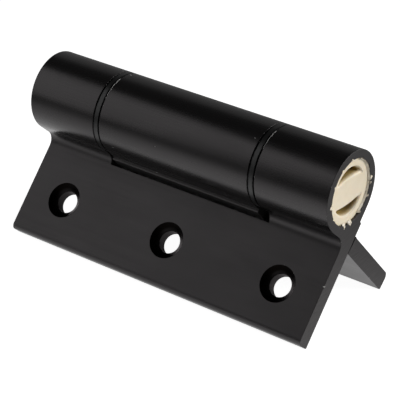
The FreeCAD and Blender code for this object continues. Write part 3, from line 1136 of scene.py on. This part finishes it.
def make_flash(name, end, tears, smear, detail, material):
    """The torn slivers and the smear of one plug, joined into one piece."""
    slivers = []
    for seed, (angle, tip, width) in enumerate(tears, start=1):
        slivers.append(make_tear(end, math.radians(angle), tip * MM, width * MM, seed, detail))
    slivers.append(make_smear(end, *smear, len(tears) + 1, detail))
    start_clean()
    for sliver in slivers:
        sliver.select_set(True)
    bpy.context.view_layer.objects.active = slivers[0]
    bpy.ops.object.join()
    finish_piece(slivers[0], name, "frame_side", material, TEAR_SMOOTH)


def make_chip(name, body, place, normal, size, seed, material):
    """A chip of bare metal, flat and ragged, on a surface of the extrusion."""
    start_clean()
    outward = Vector(normal).normalized()
    bpy.ops.mesh.primitive_ico_sphere_add(
        subdivisions=2,
        radius=size / 2.0,
        location=Vector(place) * MM,
        rotation=outward.to_track_quat("Z", "Y").to_euler(),
        scale=CHIP_FORM,
    )
    piece = bpy.context.object
    bpy.ops.object.transform_apply(location=False, rotation=True, scale=True)
    edit_all()
    bpy.ops.transform.vertex_random(offset=size / 12.0, uniform=0.5, normal=0.3, seed=seed)
    finish_piece(piece, name, body, material, CHIP_SMOOTH)


def make_burr(name, body, along, start, sweep, thickness, seed, material):
    """A ragged burr along the edge of a knuckle, from one angle about the barrel to another."""
    start_clean()
    centre = Vector((along * MM, 0.0, BARREL_AXIS.z))
    start_angle = math.radians(start)
    outward = Vector((0.0, math.cos(start_angle), math.sin(start_angle)))
    bpy.ops.mesh.primitive_circle_add(
        vertices=BURR_SIDES,
        radius=thickness / 2.0,
        fill_type="NGON",
        location=centre + outward * BARREL_RADIUS,
        rotation=(start_angle, 0.0, 0.0),
    )
    piece = bpy.context.object
    place_in_mesh()
    sweep_round(centre, sweep, round(sweep / BURR_STEP), thickness / 4.0, seed)
    finish_piece(piece, name, body, material, BURR_SMOOTH)


# Torn plastic at the plugs' teeth: angle about the barrel in degrees, then the tip's radius and the
# width at the root in millimetres
RIGHT_TEARS = [
    (93.5, 12.0, 2.2),
    (60.0, 11.3, 2.6),
    (2.5, 12.2, 3.0),
    (-6.5, 11.8, 2.4),
    (-28.3, 11.7, 2.4),
    (-58.5, 11.4, 2.4),
    (-88.0, 12.1, 2.6),
    (-106.0, 12.2, 2.0),
    (-177.3, 12.3, 2.8),
]
LEFT_TEARS = [
    (31.0, 12.0, 2.2),
    (74.0, 11.7, 1.8),
    (119.0, 12.2, 2.4),
    (-170.0, 11.9, 1.8),
    (-121.0, 12.3, 2.2),
    (-60.0, 11.8, 2.0),
]

# Smeared plastic on each plug: first angle about the barrel and sweep in degrees
RIGHT_SMEAR = (-57.0, 118.0)
LEFT_SMEAR = (65.0, 70.0)

# Chips: body, place in millimetres, the surface's normal there, and size against the usual chip
CHIPS = [
    ("door_side", (-6.4, -13.98, 47.17), (0.0, -1.0, 0.02), 1.7),
    ("door_side", (-25.29, -12.52, 40.23), (0.0, -0.91, -0.41), 1.8),
    ("frame_side", (59.95, -13.29, 18.46), (0.5, -0.74, 0.67), 2.2),
    ("frame_side", (59.95, -4.48, 30.54), (0.5, -0.98, -0.19), 1.2),
    ("door_side", (28.2, -7.32, 58.4), (0.0, -0.54, 0.84), 1.6),
    ("door_side", (-29.06, 1.91, 60.35), (0.0, 0.14, 0.99), 2.2),
    ("door_side", (-29.77, -11.73, 54.12), (0.0, -0.85, 0.52), 0.7),
]

# Burrs: body, place along the barrel in millimetres, first angle about the barrel and sweep in degrees,
# thickness against the usual burr, and whether the metal shows bare
BURRS = [
    ("door_side", -30.0, 100.0, 38.0, 0.75, True),
    ("door_side", 30.05, 172.0, 9.0, 1.5, False),
    ("door_side", 30.05, 187.0, 12.0, 1.3, False),
    ("frame_side", 32.75, 100.0, 32.0, 0.7, True),
]


# Stage

# Softboxes: name, place, width and height in metres, and the setting of the power
SOFTBOXES = [
    ("front_softbox", (-0.84, -0.66, 0.63), (0.95, 1.3), "front_power"),
    ("back_softbox", (-0.66, 0.92, 0.40), (0.8, 0.8), "back_power"),
    ("right_softbox", (1.10, 0.90, 0.36), (1.3, 0.57), "right_power"),
]


def floor_material(stage):
    """Pale paper with a painted pool of light around the hinge; the camera sees it as white, and gloss sees
    it as bright only around the hinge.
    """
    material, tree, output = empty_material("studio_floor")
    place = object_place(tree)
    far = remap(tree, vector_sum(tree, "LENGTH", place)["Value"], *FLOOR_FADE, 0.0, 1.0)
    from_line = split(tree, place)["Y"]
    # Painted reflection: the floor glows for glossy rays, brightest between the leaves and in front, faint
    # away from the hinge
    under = remap(tree, arithmetic(tree, "ABSOLUTE", from_line), *FLOOR_UNDER, 1.0, 0.0)
    in_front = remap(tree, from_line, *FLOOR_FRONT, 0.0, stage.floor_gloss)
    near_gloss = blend_values(tree, under, in_front, stage.floor_under)
    gloss_glow = blend_values(tree, far, near_gloss, stage.floor_gloss_far)
    seen_glow = blend_values(tree, far, stage.floor_glow, 1.0)

    path = add_node(tree, "ShaderNodeLightPath").outputs
    seen = arithmetic(tree, "MAXIMUM", path["Is Camera Ray"], path["Is Transmission Ray"])
    seen_strength = arithmetic(tree, "MULTIPLY", seen, seen_glow)
    gloss_strength = arithmetic(tree, "MULTIPLY", path["Is Glossy Ray"], gloss_glow)
    strength = arithmetic(tree, "ADD", seen_strength, gloss_strength)
    # Painted pool of light: the paper's own colour darkens away from the hinge
    colour = blend_colours(tree, far, stage.floor_painted_pool, stage.floor_painted_far)
    paper = add_node(tree, "ShaderNodeBsdfDiffuse", {"Color": colour})
    glow = add_node(tree, "ShaderNodeEmission", {"Strength": strength})
    both = add_node(tree, "ShaderNodeAddShader", {0: paper.outputs["BSDF"], 1: glow.outputs["Emission"]})
    tree.links.new(both.outputs["Shader"], output.inputs["Surface"])
    return material


def make_floor(stage):
    """A round pale floor that keeps a soft shadow."""
    start_clean()
    bpy.ops.mesh.primitive_circle_add(
        vertices=FLOOR_SIDES,
        radius=stage.floor_radius,
        fill_type="NGON",
        location=(0.0, 0.0, 0.0),
    )
    floor = bpy.context.object
    floor.name = "floor"
    edit_all()
    bpy.ops.mesh.inset(thickness=FLOOR_RIM)
    bpy.ops.object.mode_set(mode="OBJECT")
    floor.data.materials.append(floor_material(stage))


def make_lamp(name, place, size, power):
    """A softbox of a width and a height that faces the hinge."""
    start_clean()
    facing = (BARREL_AXIS - Vector(place)).to_track_quat("-Z", "Y")
    bpy.ops.object.light_add(type="AREA", location=place, rotation=facing.to_euler())
    lamp = bpy.context.object
    lamp.name = name
    lamp.data.shape = "RECTANGLE"
    lamp.data.size, lamp.data.size_y = size
    lamp.data.energy = power


def make_room(stage):
    """A dim room around the hinge that the camera sees as white."""
    scene = bpy.context.scene
    if scene.world is None:
        scene.world = bpy.data.worlds.new("room")
    scene.world.use_nodes = True
    tree = scene.world.node_tree
    tree.nodes.clear()
    output = add_node(tree, "ShaderNodeOutputWorld")
    direction = add_node(tree, "ShaderNodeTexCoord").outputs["Generated"]
    light = remap(tree, split(tree, direction)["Z"], 0.0, 0.8, stage.room_low, stage.room_high)
    path = add_node(tree, "ShaderNodeLightPath")
    strength = blend_values(tree, path.outputs["Is Camera Ray"], light, 1.0)
    background = add_node(tree, "ShaderNodeBackground", {"Color": (1.0, 1.0, 1.0, 1.0), "Strength": strength})
    tree.links.new(background.outputs["Background"], output.inputs["Surface"])


def make_camera(stage):
    """The camera at the photograph's viewing angle."""
    start_clean()
    bpy.ops.object.camera_add()
    camera = bpy.context.object
    camera.name = "camera"
    back = Vector(
        (
            math.sin(stage.azimuth) * math.cos(stage.elevation),
            -math.cos(stage.azimuth) * math.cos(stage.elevation),
            math.sin(stage.elevation),
        )
    )
    right = Vector((0.0, 0.0, 1.0)).cross(back).normalized()
    up = back.cross(right)
    turned_right = right * math.cos(stage.roll) - up * math.sin(stage.roll)
    turned_up = up * math.cos(stage.roll) + right * math.sin(stage.roll)
    place = BARREL_AXIS + Vector(stage.camera_place)
    turn = Matrix((turned_right, turned_up, back)).transposed().to_4x4()
    camera.matrix_world = Matrix.Translation(place) @ turn
    camera.data.sensor_width = SENSOR_WIDTH
    camera.data.lens = stage.lens
    camera.data.clip_start = 0.01
    camera.data.clip_end = 20.0
    bpy.context.scene.camera = camera


# Operators

class HINGE_OT_leaves(bpy.types.Operator):
    """Gives both leaves their black anodised finish"""

    bl_idname = "hinge.leaves"
    bl_label = "Leaves"

    def execute(self, context):
        finish, _, _ = settings()
        dress(("frame_leaf", "door_leaf"), anodised_material(finish))
        return {"FINISHED"}


class HINGE_OT_plugs(bpy.types.Operator):
    """Models the end plugs and their torn plastic, and gives the spring anchor the same cream finish"""

    bl_idname = "hinge.plugs"
    bl_label = "End plugs"

    def execute(self, context):
        finish, detail, _ = settings()
        cream = cream_material(finish)
        dress(("spring_anchor",), cream)
        right = make_right_plug(detail)
        left = turned_copy(right, "Z")
        finish_plug(right, "right_plug_moulding", "right_end_plug", cream)
        finish_plug(left, "left_plug_moulding", "left_end_plug", cream)
        torn = torn_material(finish)
        make_flash("right_plug_flash", 1.0, RIGHT_TEARS, RIGHT_SMEAR, detail, torn)
        make_flash("left_plug_flash", -1.0, LEFT_TEARS, LEFT_SMEAR, detail, torn)
        return {"FINISHED"}


class HINGE_OT_washers(bpy.types.Operator):
    """Gives the thrust washers their black plastic"""

    bl_idname = "hinge.washers"
    bl_label = "Thrust washers"

    def execute(self, context):
        finish, _, _ = settings()
        dress(("right_thrust_washer", "left_thrust_washer"), washer_material(finish))
        return {"FINISHED"}


class HINGE_OT_spring(bpy.types.Operator):
    """Gives the pin and the spring inside the barrel their steel"""

    bl_idname = "hinge.spring"
    bl_label = "Pin and spring"

    def execute(self, context):
        finish, _, _ = settings()
        dress(("pivot_pin",), steel_material("ground_steel", finish.steel, 1500.0, 0.22))
        dress(("torsion_spring",), steel_material("spring_strip", finish.spring_steel, 300.0, 0.32))
        return {"FINISHED"}


class HINGE_OT_marks(bpy.types.Operator):
    """Models the chips in the anodised layer and the burrs along the knuckles' edges"""

    bl_idname = "hinge.marks"
    bl_label = "Chips and burrs"

    def execute(self, context):
        finish, detail, _ = settings()
        bare = bare_material("bare_aluminium", finish.bare_metal)
        black = bare_material("black_burr", tuple(channel * 3.0 for channel in finish.sawn))
        for number, (body, place, normal, share) in enumerate(CHIPS, start=1):
            make_chip(f"chip_{number}", body, place, normal, detail.chip_size * share, number, bare)
        for number, (body, along, start, sweep, share, is_bare) in enumerate(BURRS, start=1):
            thickness = detail.burr_thickness * share
            metal = bare if is_bare else black
            make_burr(f"burr_{number}", body, along, start, sweep, thickness, number, metal)
        return {"FINISHED"}


class HINGE_OT_stage(bpy.types.Operator):
    """Sets up the floor, the lamps, the room and the camera"""

    bl_idname = "hinge.stage"
    bl_label = "Stage"

    def execute(self, context):
        _, _, stage = settings()
        make_floor(stage)
        for name, place, size, power in SOFTBOXES:
            make_lamp(name, place, size, getattr(stage, power))
        make_room(stage)
        make_camera(stage)
        context.scene.view_settings.view_transform = "Standard"
        return {"FINISHED"}


class HINGE_PT_panel(bpy.types.Panel):
    """Lists the steps and settings of the spring hinge"""

    bl_label = "Spring Hinge"
    bl_idname = "HINGE_PT_panel"
    bl_space_type = "VIEW_3D"
    bl_region_type = "UI"
    bl_category = "Spring Hinge"

    def draw(self, context):
        for step in STEPS:
            self.layout.operator(step.bl_idname)
        for group in settings():
            column = self.layout.column(align=True)
            for name in group.__annotations__:
                column.prop(group, name)


STEPS = (
    HINGE_OT_leaves,
    HINGE_OT_plugs,
    HINGE_OT_washers,
    HINGE_OT_spring,
    HINGE_OT_marks,
    HINGE_OT_stage,
)
CLASSES = (HingeFinishSettings, HingeDetailSettings, HingeStageSettings, *STEPS, HINGE_PT_panel)


def register():
    """Adds the hinge's settings, steps and panel to Blender."""
    for cls in CLASSES:
        bpy.utils.register_class(cls)
    bpy.types.Scene.hinge_finish = PointerProperty(type=HingeFinishSettings)
    bpy.types.Scene.hinge_detail = PointerProperty(type=HingeDetailSettings)
    bpy.types.Scene.hinge_stage = PointerProperty(type=HingeStageSettings)


def unregister():
    """Takes the hinge's settings, steps and panel away again."""
    del bpy.types.Scene.hinge_stage
    del bpy.types.Scene.hinge_detail
    del bpy.types.Scene.hinge_finish
    for cls in reversed(CLASSES):
        bpy.utils.unregister_class(cls)


def main():
    """Builds the hinge step by step."""
    register()
    bpy.ops.hinge.leaves()
    bpy.ops.hinge.plugs()
    bpy.ops.hinge.washers()
    bpy.ops.hinge.spring()
    bpy.ops.hinge.marks()
    bpy.ops.hinge.stage()


if __name__ == "__main__":
    main()
